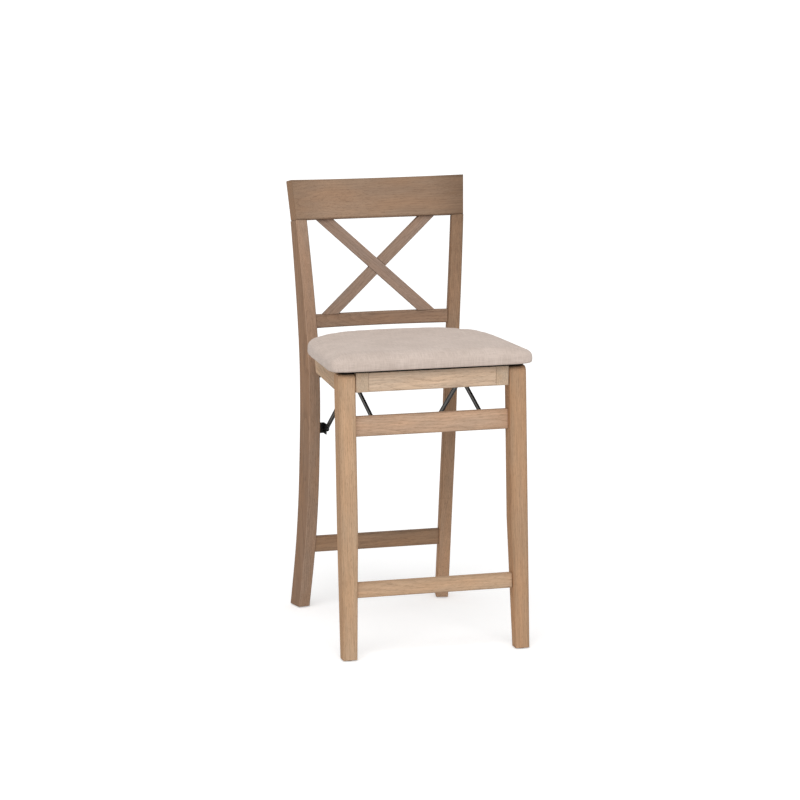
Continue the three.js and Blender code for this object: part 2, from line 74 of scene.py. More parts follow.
def set_camera():
    data = bpy.data.cameras.new("camera")
    data.sensor_width = SENSOR
    data.lens = FOCAL_PIXELS / PICTURE_PIXELS * SENSOR
    data.clip_end = VIEW_END
    camera = bpy.data.objects.new("camera", data)
    camera.location = CAMERA_PLACE
    camera.rotation_euler = (math.radians(90 - CAMERA_PITCH), 0, -math.radians(CAMERA_YAW))
    bpy.context.scene.collection.objects.link(camera)
    bpy.context.scene.camera = camera


WORLD_LIGHT = 0.64
SUN_LIGHT = 1.45
SUN_FROM = (-0.22, -0.62, 0.76)
SUN_SPREAD = 50
FLOOR_REACH = 60
FLOOR_PAINT = 0.86
# What the floor adds to itself for the camera alone, so that it reads as white paper
FLOOR_LIFT = 0.40


def set_light():
    """A soft light all round, a broad window, and a white ground for the camera and reflections."""
    scene = bpy.context.scene
    scene.view_settings.view_transform = "Standard"
    world = bpy.data.worlds.new("studio")
    scene.world = world
    world.use_nodes = True
    nodes, links = world.node_tree.nodes, world.node_tree.links
    nodes.clear()
    out = nodes.new("ShaderNodeOutputWorld")
    light = nodes.new("ShaderNodeBackground")
    light.inputs["Strength"].default_value = WORLD_LIGHT
    seen = nodes.new("ShaderNodeBackground")
    seen.inputs["Color"].default_value = (1, 1, 1, 1)
    path = nodes.new("ShaderNodeLightPath")
    direct = path.outputs["Is Camera Ray"]
    for ray in ("Is Glossy Ray", "Is Transmission Ray"):
        either = nodes.new("ShaderNodeMath")
        either.operation = "MAXIMUM"
        links.new(direct, either.inputs[0])
        links.new(path.outputs[ray], either.inputs[1])
        direct = either.outputs[0]
    mix = nodes.new("ShaderNodeMixShader")
    links.new(direct, mix.inputs["Fac"])
    links.new(light.outputs[0], mix.inputs[1])
    links.new(seen.outputs[0], mix.inputs[2])
    links.new(mix.outputs[0], out.inputs["Surface"])
    lamp = bpy.data.lights.new("window", "SUN")
    lamp.energy = SUN_LIGHT
    lamp.angle = math.radians(SUN_SPREAD)
    sun = bpy.data.objects.new("window", lamp)
    sun.rotation_euler = Vector(SUN_FROM).to_track_quat("Z", "Y").to_euler()
    scene.collection.objects.link(sun)


def lay_floor():
    mesh = bpy.data.meshes.new("floor")
    shape = bmesh.new()
    bmesh.ops.create_grid(shape, x_segments=2, y_segments=2, size=FLOOR_REACH)
    shape.to_mesh(mesh)
    shape.free()
    floor = bpy.data.objects.new("floor", mesh)
    bpy.context.scene.collection.objects.link(floor)
    material = bpy.data.materials.new("floor_paint")
    material.use_nodes = True
    tree = material.node_tree
    shader = tree.nodes["Principled BSDF"]
    shader.inputs["Base Color"].default_value = (FLOOR_PAINT, FLOOR_PAINT, FLOOR_PAINT, 1)
    shader.inputs["Roughness"].default_value = 0.9
    shader.inputs["Specular IOR Level"].default_value = 0.0
    shader.inputs["Emission Color"].default_value = (1, 1, 1, 1)
    path = tree.nodes.new("ShaderNodeLightPath")
    lift = tree.nodes.new("ShaderNodeMath")
    lift.operation = "MULTIPLY"
    lift.inputs[1].default_value = FLOOR_LIFT
    tree.links.new(path.outputs["Is Camera Ray"], lift.inputs[0])
    tree.links.new(lift.outputs[0], shader.inputs["Emission Strength"])
    mesh.materials.append(material)


set_camera()
set_light()
lay_floor()


# Shader groups

def new_group(name, inputs, outputs):
    group = bpy.data.node_groups.new(name, "ShaderNodeTree")
    for label, kind, value in inputs:
        socket = group.interface.new_socket(name=label, in_out="INPUT", socket_type=kind)
        if value is not None:
            socket.default_value = value
    for label, kind in outputs:
        group.interface.new_socket(name=label, in_out="OUTPUT", socket_type=kind)
    inside = group.nodes.new("NodeGroupInput")
    outside = group.nodes.new("NodeGroupOutput")
    return group, inside, outside


class Wiring:
    """Short names for the nodes and links of one tree."""

    def __init__(self, tree):
        self.nodes = tree.nodes
        self.links = tree.links

    def feed(self, socket, value):
        if isinstance(value, bpy.types.NodeSocket):
            self.links.new(value, socket)
        elif value is not None:
            socket.default_value = value

    def math(self, operation, a, b=None, clamp=False):
        node = self.nodes.new("ShaderNodeMath")
        node.operation = operation
        node.use_clamp = clamp
        self.feed(node.inputs[0], a)
        self.feed(node.inputs[1], b)
        return node.outputs[0]

    def vector(self, operation, a, b=None):
        node = self.nodes.new("ShaderNodeVectorMath")
        node.operation = operation
        self.feed(node.inputs[0], a)
        self.feed(node.inputs[1], b)
        return node.outputs["Value" if operation in ("LENGTH", "DOT_PRODUCT") else "Vector"]

    def noise(self, vector, scale, detail=2.0, roughness=0.5, distortion=0.0):
        node = self.nodes.new("ShaderNodeTexNoise")
        self.feed(node.inputs["Vector"], vector)
        self.feed(node.inputs["Scale"], scale)
        node.inputs["Detail"].default_value = detail
        node.inputs["Roughness"].default_value = roughness
        node.inputs["Distortion"].default_value = distortion
        return node.outputs["Fac"]

    def spread(self, value, low, high, to_low=0.0, to_high=1.0, smooth=False):
        node = self.nodes.new("ShaderNodeMapRange")
        node.interpolation_type = "SMOOTHSTEP" if smooth else "LINEAR"
        self.feed(node.inputs["Value"], value)
        labels = ("From Min", "From Max", "To Min", "To Max")
        for label, number in zip(labels, (low, high, to_low, to_high)):
            self.feed(node.inputs[label], number)
        return node.outputs["Result"]

    def mix(self, factor, a, b, blend="MIX"):
        node = self.nodes.new("ShaderNodeMix")
        node.data_type = "RGBA"
        node.blend_type = blend
        self.feed(node.inputs["Factor"], factor)
        self.feed(node.inputs[6], a)
        self.feed(node.inputs[7], b)
        return node.outputs[2]

    def split(self, vector):
        node = self.nodes.new("ShaderNodeSeparateXYZ")
        self.feed(node.inputs[0], vector)
        return node.outputs

    def gather(self, x, y, z):
        node = self.nodes.new("ShaderNodeCombineXYZ")
        for socket, value in zip(node.inputs, (x, y, z)):
            self.feed(socket, value)
        return node.outputs[0]


# How often each mark of the oak repeats in a metre, along the grain and twice across it
WANDER_REPEATS = (3.0, 9.0, 9.0)
PLANK_REPEATS = (1.8, 22.0, 22.0)
STREAK_REPEATS = (8.0, 240.0, 240.0)
FLECK_REPEATS = (55.0, 1300.0, 1300.0)
BLUSH_REPEATS = (7.0, 34.0, 34.0)
RINGS_IN_METRE = 210.0
# How far the rings wander, and how far the log's heart lies from the piece, in metres
RING_WANDER = 0.045
HEART = (0.055, 0.03)
# The wash: how light it is, how much that varies in a plank, and how far it turns to red in its
# blushes, and how far the painted shade on the faces turned to the left or right warms it
WASH_LIGHT = 1.03
PLANK_CONTRAST = 0.06
BLUSH_WARMTH = 0.035
SIDE_SHADE_WARMTH = 0.07


def oak_grain_group():
    """Washed oak whose grain runs along the vector's X axis, in metres.

    Face is the same place without the lean of the cut: its Z runs across the piece, so that the
    wash can darken towards both rims, and its X runs along it, for painted shade towards both end
    faces and painted light and shade that changes along the piece. Faces turned to the left or right
    get painted shade.
    """
    group, inside, outside = new_group(
        "oak_grain",
        (
            ("Vector", "NodeSocketVector", None),
            ("Face", "NodeSocketVector", None),
            ("Half Width", "NodeSocketFloat", 0.02),
            ("Half Length", "NodeSocketFloat", 0.3),
            ("Tone", "NodeSocketColor", (0.5, 0.4, 0.3, 1)),
            ("Pore", "NodeSocketColor", (0.3, 0.2, 0.13, 1)),
            ("Streak", "NodeSocketFloat", 0.09),
            ("Ring Depth", "NodeSocketFloat", 0.08),
            ("Rim", "NodeSocketFloat", 0.1),
            ("Ends", "NodeSocketFloat", 0.0),
            ("Drift", "NodeSocketFloat", 0.0),
            ("Flank", "NodeSocketFloat", 0.0),
        ),
        (
            ("Color", "NodeSocketColor"),
            ("Roughness", "NodeSocketFloat"),
            ("Height", "NodeSocketFloat"),
        ),
    )
    w = Wiring(group)
    given = inside.outputs
    place = given["Vector"]
    wander = w.noise(w.vector("MULTIPLY", place, WANDER_REPEATS), 1.0, 2.0)
    _, y, z = w.split(place)
    heart_y, heart_z = HEART
    from_heart = w.gather(0.0, w.math("ADD", y, heart_y), w.math("ADD", z, heart_z))
    radius = w.vector("LENGTH", from_heart)
    swell = w.math("MULTIPLY", w.math("SUBTRACT", wander, 0.5), RING_WANDER)
    rings = w.math("MULTIPLY", w.math("ADD", radius, swell), RINGS_IN_METRE)
    ring = w.math("FRACT", rings)
    early = w.math("POWER", w.math("SUBTRACT", 1.0, ring), 2.2)
    plank = w.noise(w.vector("MULTIPLY", place, PLANK_REPEATS), 1.0, 3.0, 0.55)
    streak = w.noise(w.vector("MULTIPLY", place, STREAK_REPEATS), 1.0, 4.0, 0.65)
    fleck = w.noise(w.vector("MULTIPLY", place, FLECK_REPEATS), 1.0, 2.0, 0.6)
    blush = w.noise(w.vector("MULTIPLY", place, BLUSH_REPEATS), 1.0, 2.0)
    pores = w.math("ADD", fleck, w.math("MULTIPLY", early, 0.10))
    pores = w.spread(pores, 0.58, 0.70, smooth=True)

    light = w.math("MULTIPLY", w.spread(streak, 0.3, 0.7, -1.0, 1.0), given["Streak"])
    light = w.math("ADD", light, w.spread(plank, 0.32, 0.68, -PLANK_CONTRAST, PLANK_CONTRAST))
    light = w.math("SUBTRACT", light, w.math("MULTIPLY", early, given["Ring Depth"]))
    x, _, across = w.split(given["Face"])
    to_rim = w.math("SUBTRACT", given["Half Width"], w.math("ABSOLUTE", across))
    rim = w.spread(to_rim, 0.001, 0.010, 1.0, 0.0, smooth=True)
    light = w.math("SUBTRACT", light, w.math("MULTIPLY", rim, given["Rim"]))
    # Painted shade: darker towards both ends, and lighter or darker along the piece, where light
    # falls unevenly on it
    to_end = w.math("DIVIDE", x, given["Half Length"])
    end_shade = w.spread(w.math("ABSOLUTE", to_end), 0.55, 1.0, 0.0, 1.0, smooth=True)
    light = w.math("SUBTRACT", light, w.math("MULTIPLY", end_shade, given["Ends"]))
    light = w.math("ADD", light, w.math("MULTIPLY", to_end, given["Drift"]))
    # Painted shade: faces turned to the left or right are darkened and warmed, as less of the light
    # falls on them
    normal = w.nodes.new("ShaderNodeNewGeometry").outputs["Normal"]
    sideways = w.math("ABSOLUTE", w.vector("DOT_PRODUCT", normal, (1, 0, 0)))
    side_shade = w.spread(sideways, 0.6, 0.9, smooth=True)
    light = w.math("SUBTRACT", light, w.math("MULTIPLY", side_shade, given["Flank"]))
    light = w.math("ADD", light, WASH_LIGHT)
    warm = w.spread(blush, 0.33, 0.67, -BLUSH_WARMTH, BLUSH_WARMTH)
    warm = w.math("ADD", warm, w.math("MULTIPLY", side_shade, SIDE_SHADE_WARMTH))
    red = w.math("MULTIPLY", light, w.math("ADD", 1.0, warm))
    blue = w.math("MULTIPLY", light, w.math("SUBTRACT", 1.0, warm))
    wood = w.mix(1.0, given["Tone"], w.gather(red, light, blue), "MULTIPLY")
    wood = w.mix(w.math("MULTIPLY", pores, 0.5), wood, given["Pore"])

    height = w.math("SUBTRACT", 1.0, w.math("MULTIPLY", pores, 0.8))
    height = w.math("SUBTRACT", height, w.math("MULTIPLY", streak, 0.35))
    w.feed(outside.inputs["Color"], wood)
    w.feed(outside.inputs["Roughness"], w.spread(streak, 0.3, 0.7, 0.60, 0.76))
    w.feed(outside.inputs["Height"], height)
    return group


def eased_edge_group():
    """A mask of the outer edges, where the wash is rubbed, from rounded and plain normals."""
    group, inside, outside = new_group(
        "eased_edge",
        (("Vector", "NodeSocketVector", None), ("Rounded", "NodeSocketVector", None)),
        (("Mask", "NodeSocketFloat"),),
    )
    w = Wiring(group)
    plain = w.nodes.new("ShaderNodeNewGeometry").outputs["Normal"]
    turn = w.vector("DOT_PRODUCT", inside.outputs["Rounded"], plain)
    ragged = w.noise(inside.outputs["Vector"], 90.0, 3.0)
    mask = w.spread(turn, 0.995, 0.86)
    mask = w.math("MULTIPLY", mask, w.spread(ragged, 0.38, 0.62, 0.35, 1.0), clamp=True)
    w.feed(outside.inputs["Mask"], mask)
    return group


THREAD_PITCH = 0.0011
SLUB_REPEATS = (520.0, 30.0)


def linen_weave_group():
    """Plain weave on the pad's own thread map, in metres, with slubs and a soft mottle."""
    group, inside, outside = new_group(
        "linen_weave",
        (
            ("Threads", "NodeSocketVector", None),
            ("Vector", "NodeSocketVector", None),
            ("Pale", "NodeSocketColor", (0.6, 0.52, 0.46, 1)),
            ("Deep", "NodeSocketColor", (0.5, 0.42, 0.36, 1)),
        ),
        (("Color", "NodeSocketColor"), ("Height", "NodeSocketFloat")),
    )
    w = Wiring(group)
    threads = inside.outputs["Threads"]
    u, v, _ = w.split(threads)
    pitch = 2 * math.pi / THREAD_PITCH
    over_u = w.math("SINE", w.math("MULTIPLY", u, pitch))
    over_v = w.math("SINE", w.math("MULTIPLY", v, pitch))
    weave = w.math("MULTIPLY", over_u, over_v)
    crown = w.math("ADD", w.math("ABSOLUTE", over_u), w.math("ABSOLUTE", over_v))
    short, long = SLUB_REPEATS
    slub_u = w.noise(w.vector("MULTIPLY", threads, (short, long, 1.0)), 1.0, 2.0, 0.6)
    slub_v = w.noise(w.vector("MULTIPLY", threads, (long, short, 1.0)), 1.0, 2.0, 0.6)
    slub = w.math("ADD", slub_u, slub_v)
    mottle = w.noise(inside.outputs["Vector"], 14.0, 3.0, 0.6)
    blend = w.spread(slub, 0.8, 1.2, 0.0, 0.6)
    blend = w.math("ADD", blend, w.spread(mottle, 0.32, 0.68, 0.0, 0.32))
    blend = w.math("ADD", blend, w.math("MULTIPLY", weave, 0.10), clamp=True)
    w.feed(outside.inputs["Color"], w.mix(blend, inside.outputs["Pale"], inside.outputs["Deep"]))
    rise = w.math("ADD", w.math("MULTIPLY", crown, 0.4), w.math("MULTIPLY", weave, 0.5))
    w.feed(outside.inputs["Height"], w.math("ADD", rise, w.math("MULTIPLY", slub, 0.4)))
    return group


def fine_speckle_group():
    """Small changes of tone and level, for enamel, steel, nylon and the dust cloth."""
    group, inside, outside = new_group(
        "fine_speckle",
        (
            ("Vector", "NodeSocketVector", None),
            ("Low", "NodeSocketColor", (0.02, 0.02, 0.02, 1)),
            ("High", "NodeSocketColor", (0.05, 0.05, 0.05, 1)),
            ("Grain", "NodeSocketFloat", 900.0),
        ),
        (
            ("Color", "NodeSocketColor"),
            ("Roughness", "NodeSocketFloat"),
            ("Height", "NodeSocketFloat"),
        ),
    )
    w = Wiring(group)
    fine = w.noise(inside.outputs["Vector"], inside.outputs["Grain"])
    broad = w.noise(inside.outputs["Vector"], 45.0, 3.0, 0.6)
    blend = w.math("ADD", w.math("MULTIPLY", fine, 0.5), w.math("MULTIPLY", broad, 0.5))
    blend = w.spread(blend, 0.35, 0.65)
    w.feed(outside.inputs["Color"], w.mix(blend, inside.outputs["Low"], inside.outputs["High"]))
    w.feed(outside.inputs["Roughness"], w.spread(broad, 0.3, 0.7, 0.34, 0.52))
    w.feed(outside.inputs["Height"], fine)
    return group


OAK_GRAIN = oak_grain_group()
EASED_EDGE = eased_edge_group()
LINEN_WEAVE = linen_weave_group()
FINE_SPECKLE = fine_speckle_group()


# Materials

def new_material(name):
    material = bpy.data.materials.new(name)
    material.use_nodes = True
    shader = material.node_tree.nodes["Principled BSDF"]
    return material, Wiring(material.node_tree), shader


def place_group(w, group, **inputs):
    node = w.nodes.new("ShaderNodeGroup")
    node.node_tree = group
    for label, value in inputs.items():
        w.feed(node.inputs[label.replace("_", " ")], value)
    return node.outputs


def bump(w, height, distance, strength, normal=None):
    node = w.nodes.new("ShaderNodeBump")
    node.inputs["Strength"].default_value = strength
    node.inputs["Distance"].default_value = distance
    w.feed(node.inputs["Height"], height)
    w.feed(node.inputs["Normal"], normal)
    return node.outputs["Normal"]


def object_place(w):
    return w.nodes.new("ShaderNodeTexCoord").outputs["Object"]


def rounded_normal(w, radius):
    node = w.nodes.new("ShaderNodeBevel")
    node.samples = 4
    node.inputs["Radius"].default_value = radius
    return node.outputs["Normal"]


# Colours as the eye sees them, from 0 to 255, for the leg frame and for the darker back
FRONT_OAK = {"tone": (203, 171, 138), "pore": (140, 108, 82), "arris": (150, 118, 92)}
BACK_OAK = {"tone": (168, 140, 117), "pore": (112, 87, 69), "arris": (112, 88, 70)}

# How light each piece is beside its finish, as red, green, blue: partly its plank's own tone, as no
# two planks took the wash alike, and partly painted light and shade, the apron and side rails
# painted lighter against the shade under the pad and the right front leg painted darker where less
# light falls
PLANK_TONES_AND_PAINTED_LIGHT = {
    "front_leg_left": (0.97, 0.94, 0.95),
    "front_leg_right": (0.84, 0.77, 0.75),
    "apron": (1.15, 1.25, 1.45),
    "upper_front_stretcher": (0.99, 0.97, 1.06),
    "lower_front_stretcher": (0.97, 0.96, 1.00),
    "rear_stretcher": (1.01, 0.95, 0.88),
    "crest_rail": (0.94, 0.92, 0.905),
    "rear_post_left": (1.09, 1.07, 1.09),
    "rear_post_right": (1.10, 1.04, 0.98),
    "cross_bar_front": (0.91, 0.95, 1.07),
    "cross_bar_rear": (0.91, 0.95, 1.05),
    "lower_back_rail": (0.89, 0.87, 0.88),
    "side_rail_left": (1.06, 1.16, 1.32),
    "side_rail_right": (1.06, 1.16, 1.32),
}
# Where a piece departs from the usual: the contrast of its streaks, the depth of its rings, and its
# painted shade: how much darker its ends are painted, and how much lighter it is painted along its
# grain, where the light falls on it unevenly, as on the bowed crest and the right rear post
USUAL_STREAK = 0.13
USUAL_RING = 0.08
STREAKS = {"crest_rail": 0.09, "apron": 0.16, "upper_front_stretcher": 0.15}
RINGS = {"crest_rail": 0.03}
END_SHADES = {"crest_rail": 0.24}
SHADE_DRIFTS = {"rear_post_left": 0.02, "rear_post_right": -0.36, "crest_rail": -0.17}
# Painted shade: how much darker the faces of a piece that are turned to the left or right are, as
# less light falls there
SIDE_SHADES = {"rear_post_left": 0.25, "rear_post_right": 0.12, "front_leg_right": -0.04}
# How much darker the wash is along both rims of a face
USUAL_RIM = 0.11
RIMS = {"rear_post_left": 0.0, "rear_post_right": 0.0, "crest_rail": 0.16}
BAR_HALF_WIDTHS = {"cross_bar_front": 0.023, "cross_bar_rear": 0.021}
ARRIS_RADIUS = 0.0022
OAK_GLOSS = 0.06
# How deep the grain is, in metres, and how far the rubbed edges take the arris colour
GRAIN_DEPTH = 0.0003
RUBBED = 0.4
# The cut leans this much to the grain, in degrees. The pieces come from seven places in the log,
# one step apart, in metres.
CUT_LEAN = (("Z", 2.2), ("Y", 1.4))
LOG_STEP = Vector((0.013, 0.017, 0.011))
LOG_PLACES = 7


def seen(rgb):
    """A colour named as on a screen, as the shader wants it."""
    def linear(c):
        c /= 255
        return c / 12.92 if c <= 0.04045 else ((c + 0.055) / 1.055) ** 2.4

    return (*[linear(c) for c in rgb], 1)


def half_width(name, low, high):
    """From the middle of a piece's face to its rim, in metres."""
    if name in BAR_HALF_WIDTHS:
        return BAR_HALF_WIDTHS[name]
    across = "x" if name.startswith("front_leg") else "z"
    return (getattr(high, across) - getattr(low, across)) / 2


def oak(name, colours, number):
    """Washed oak with its grain along the piece, cut from one of the places in the log."""
    material, w, shader = new_material(name + "_oak")
    low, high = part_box(name)
    centre = (low + high) / 2
    along = Vector(grain_direction(name)).normalized()
    turn = along.rotation_difference(Vector((1, 0, 0))).to_matrix()
    about_z, about_y = [Matrix.Rotation(math.radians(lean), 3, axis) for axis, lean in CUT_LEAN]
    centred = w.vector("SUBTRACT", object_place(w), tuple(centre))

    def turned(vector, matrix):
        mapping = w.nodes.new("ShaderNodeMapping")
        mapping.vector_type = "POINT"
        w.feed(mapping.inputs["Vector"], vector)
        mapping.inputs["Rotation"].default_value = matrix.to_euler()
        return mapping.outputs["Vector"]

    log_place = LOG_STEP * (number % LOG_PLACES)
    place = turned(w.vector("SUBTRACT", centred, tuple(log_place)), about_z @ about_y @ turn)
    # Each plank's own tone, with painted light and shade for some pieces
    tone_and_light = PLANK_TONES_AND_PAINTED_LIGHT.get(name, (1, 1, 1))
    tone = seen(colours["tone"])
    grain = place_group(
        w, OAK_GRAIN, Vector=place, Face=turned(centred, turn),
        Half_Width=half_width(name, low, high),
        Half_Length=max(high - low) / 2,
        Tone=(*[part * shade for part, shade in zip(tone, tone_and_light)], 1),
        Pore=seen(colours["pore"]),
        Streak=STREAKS.get(name, USUAL_STREAK),
        Ring_Depth=RINGS.get(name, USUAL_RING),
        Rim=RIMS.get(name, USUAL_RIM),
        Ends=END_SHADES.get(name, 0.0),
        Drift=SHADE_DRIFTS.get(name, 0.0),
        Flank=SIDE_SHADES.get(name, 0.0),
    )
    rounded = rounded_normal(w, ARRIS_RADIUS)
    edge = place_group(w, EASED_EDGE, Vector=place, Rounded=rounded)
    rubbed = w.mix(w.math("MULTIPLY", edge["Mask"], RUBBED), grain["Color"], seen(colours["arris"]))
    w.feed(shader.inputs["Base Color"], rubbed)
    w.feed(shader.inputs["Roughness"], grain["Roughness"])
    w.feed(shader.inputs["Normal"], bump(w, grain["Height"], GRAIN_DEPTH, 0.45, rounded))
    shader.inputs["Specular IOR Level"].default_value = OAK_GLOSS
    return material


def linen():
    material, w, shader = new_material("beige_linen")
    threads = w.nodes.new("ShaderNodeUVMap")
    threads.uv_map = "threads"
    weave = place_group(
        w, LINEN_WEAVE, Threads=threads.outputs["UV"], Vector=object_place(w),
        Pale=seen((228, 211, 200)), Deep=seen((198, 181, 169)),
    )
    w.feed(shader.inputs["Base Color"], weave["Color"])
    w.feed(shader.inputs["Normal"], bump(w, weave["Height"], 0.0002, 0.5))
    shader.inputs["Roughness"].default_value = 0.92
    shader.inputs["Specular IOR Level"].default_value = 0.2
    shader.inputs["Sheen Weight"].default_value = 0.15
    shader.inputs["Sheen Roughness"].default_value = 0.5
    return material


def speckled(
    name, low, high, grain, metallic,
    edge=0.0004, roughness=None, depth=0.00008, gloss=0.5,
):
    """Steel, enamel, nylon or dust cloth, from its two tones and the fineness of its grain."""
    material, w, shader = new_material(name)
    finish = place_group(
        w, FINE_SPECKLE, Vector=object_place(w), Low=seen(low), High=seen(high), Grain=grain,
    )
    w.feed(shader.inputs["Base Color"], finish["Color"])
    if roughness is None:
        w.feed(shader.inputs["Roughness"], finish["Roughness"])
    else:
        shader.inputs["Roughness"].default_value = roughness
    shader.inputs["Metallic"].default_value = metallic
    shader.inputs["Specular IOR Level"].default_value = gloss
    w.feed(shader.inputs["Normal"], bump(w, finish["Height"], depth, 0.4, rounded_normal(w, edge)))
    return material


LINK_GROOVE = 0.0042
GROOVE_EDGE = 0.0008


def grooved_link(name, start, end):
    """Blackened steel whose pressed groove, along the line from pivot to pivot, is worn grey."""
    material, w, shader = new_material(name + "_steel")
    along = (end - start).normalized()
    across = along.cross(Vector((1, 0, 0)))
    from_start = w.vector("SUBTRACT", object_place(w), tuple(start))
    off = w.math("ABSOLUTE", w.vector("DOT_PRODUCT", from_start, tuple(across)))
    groove = w.spread(off, LINK_GROOVE, LINK_GROOVE - GROOVE_EDGE, smooth=True)
    worn = place_group(
        w, FINE_SPECKLE, Vector=object_place(w),
        Low=seen((78, 75, 69)), High=seen((104, 101, 94)), Grain=700.0,
    )
    w.feed(shader.inputs["Base Color"], w.mix(groove, seen((20, 20, 20)), worn["Color"]))
    w.feed(shader.inputs["Roughness"], worn["Roughness"])
    shader.inputs["Metallic"].default_value = 0.3
    shader.inputs["Specular IOR Level"].default_value = 0.3
    w.feed(shader.inputs["Normal"], bump(w, worn["Height"], 0.00008, 0.4, rounded_normal(w, 0.0005)))
    return material


LINEN = linen()
LINK_STEEL = speckled("gunmetal_steel", (112, 112, 110), (150, 149, 146), 700.0, 0.85)
BLACK_ENAMEL = speckled("black_enamel", (20, 20, 20), (34, 33, 32), 1100.0, 0.0, gloss=0.25)
NYLON = speckled("dark_nylon", (38, 35, 33), (52, 48, 45), 1400.0, 0.0, roughness=0.55)
DUST_CLOTH = speckled(
    "black_dust_cloth", (22, 21, 21), (36, 34, 33), 2600.0, 0.0,
    roughness=0.95, depth=0.0003, gloss=0.04,
)
ZINC = speckled("zinc_screw", (150, 148, 142), (182, 180, 172), 900.0, 0.9, edge=0.0002)


# Finishes of the solids

def grain_direction(name):
    """Along which line the grain of a wooden piece runs."""
    if name.startswith("front_leg"):
        return (0, 0.0585, 1)
    if name.startswith("rear_post"):
        return (0, -0.02, 1)
    if name.startswith("side_rail"):
        return (0, 1, 0)
    if name == "cross_bar_front":
        return (-0.748, 0.1, 0.66)
    if name == "cross_bar_rear":
        return (0.748, 0.1, 0.66)
    return (1, 0, 0)


WOOD_SLOTS = {"oak_front": FRONT_OAK, "oak_back": BACK_OAK}
LINKS = [f"{end}_link_{side}" for end in ("rear", "front") for side in ("left", "right")]
PLAIN_SLOTS = {
    "seat_fabric": LINEN,
    "dust_cloth": DUST_CLOTH,
    "link_steel": LINK_STEEL,
    "black_steel": BLACK_ENAMEL,
    "nylon": NYLON,
}


def node_slots():
    return {row["node"]: row["material_slot"] for row in frame["record"]["subparts"]}


def middle(name):
    low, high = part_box(name)
    return (low + high) / 2


def link_material(name):
    end, side = name.split("_link_")
    return grooved_link(name, middle(f"{end}_link_rivet_{side}"), middle(f"knee_rivet_{side}"))


def dress_solids():
    for number, (name, slot) in enumerate(sorted(node_slots().items())):
        if slot in WOOD_SLOTS:
            material = oak(name, WOOD_SLOTS[slot], number)
        elif name in LINKS:
            material = link_material(name)
        else:
            material = PLAIN_SLOTS[slot]
        solid = NODES[name]
        solid.data.materials.clear()
        solid.data.materials.append(material)


dress_solids()


# Piece making

def new_object(name, shape, material):
    mesh = bpy.data.meshes.new(name)
    shape.to_mesh(mesh)
    shape.free()
    mesh.materials.append(material)
    piece = bpy.data.objects.new(name, mesh)
    bpy.context.scene.collection.objects.link(piece)
    return piece


def merged_copy(name):
    shape = bmesh.new()
    shape.from_mesh(NODES[name].data)
    bmesh.ops.remove_doubles(shape, verts=shape.verts, dist=0.00001)
    return shape


# Pieces that stand a little higher than their solids, as the photo shows them, in metres: what lies
# above the first height is lifted by the next value

TOPS_ABOVE = 0.700
TOPS_LIFT = 0.0053
LEG_TOPS_ABOVE = 0.690
LEG_TOPS_LIFT = 0.0040
BOARD_MIDDLE = 0.7154
BOARD_TOP_LIFT = 0.0037
# The board is this much of its solid's width, narrower to the rear, and its front is drawn in
BOARD_WIDTH = 0.955
BOARD_TAPER = 0.05
BOARD_FRONT_IN = 0.0090


def raise_piece(name, body, above, lift):
    shape = merged_copy(name)
    tops = [vertex for vertex in shape.verts if vertex.co.z > above]
    bmesh.ops.translate(shape, verts=tops, vec=lift)
    settle_raised(name, body, shape)


def settle_raised(name, body, shape):
    piece = new_object(name + "_raised", shape, NODES[name].data.materials[0])
    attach(piece, body)
    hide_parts(name)


def raise_board():
    """The board follows the rails up, and is drawn in to stay under the pad."""
    shape = merged_copy("seat_board")
    low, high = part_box("seat_board")
    length = high.y - low.y
    shorter = 1 - BOARD_FRONT_IN / length
    for vertex in shape.verts:
        vertex.co.z += BOARD_TOP_LIFT if vertex.co.z > BOARD_MIDDLE else TOPS_LIFT
        back = (vertex.co.y - low.y) / length * 2 - 1
        vertex.co.x *= BOARD_WIDTH * (1 - BOARD_TAPER * back)
        vertex.co.y = high.y - (high.y - vertex.co.y) * shorter
    settle_raised("seat_board", "seat", shape)


def raise_tops():
    straight_up = Vector((0, 0, TOPS_LIFT))
    along_leg = Vector(grain_direction("front_leg")) * LEG_TOPS_LIFT
    for name in ("apron", "seat_batten"):
        raise_piece(name, "seat", TOPS_ABOVE, straight_up)
    for side, _ in SIDES:
        raise_piece(f"side_rail_{side}", "seat", TOPS_ABOVE, straight_up)
        raise_piece(f"corner_block_{side}", "seat", TOPS_ABOVE, straight_up)
        raise_piece(f"front_leg_{side}", "front_frame", LEG_TOPS_ABOVE, along_leg)
    raise_board()


raise_tops()


# The seat pad

# The pad's front edge lies this much further back, and the whole pad higher, than its solid, in
# metres, as in the photo. Its rear edge is drawn in to clear the links and arms when folded.
PAD_FRONT_BACK = 0.0070
PAD_REAR_IN = 0.0020
PAD_LIFT = 0.0037
# The room that the pad fills
CUSHION_BOX = (
    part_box("seat_cushion")[0] + Vector((0, PAD_FRONT_BACK, PAD_LIFT)),
    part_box("seat_cushion")[1] + Vector((0, -PAD_REAR_IN, PAD_LIFT)),
)
# Its widest half width, how much narrower it grows to the rear, how far its lower edge is tucked in,
# and the heights of its widest ring and its top, in metres
PAD_HALF = 0.2545
PAD_TAPER = 0.05
PAD_LOW_TUCK = 0.0037
PAD_WIDEST = 0.7319
PAD_TOP = 0.7650
# Powers of its rounded outline, nearly square in front, rounder behind, and rounder up the dome
PAD_CORNER_FRONT = 15.0
PAD_CORNER_REAR = 3.4
PAD_CORNER_TOP = 2.9
# Powers of its profile, over the dome and down the flank
PAD_DOME = 8.8
PAD_FLANK = 4.15
PAD_SEGMENTS = 288
PAD_LOW_RINGS = 4
PAD_LEVELS = 22
# Above 1, the rings of the top lie closer together near its edge
PAD_CROWDING = 1.8

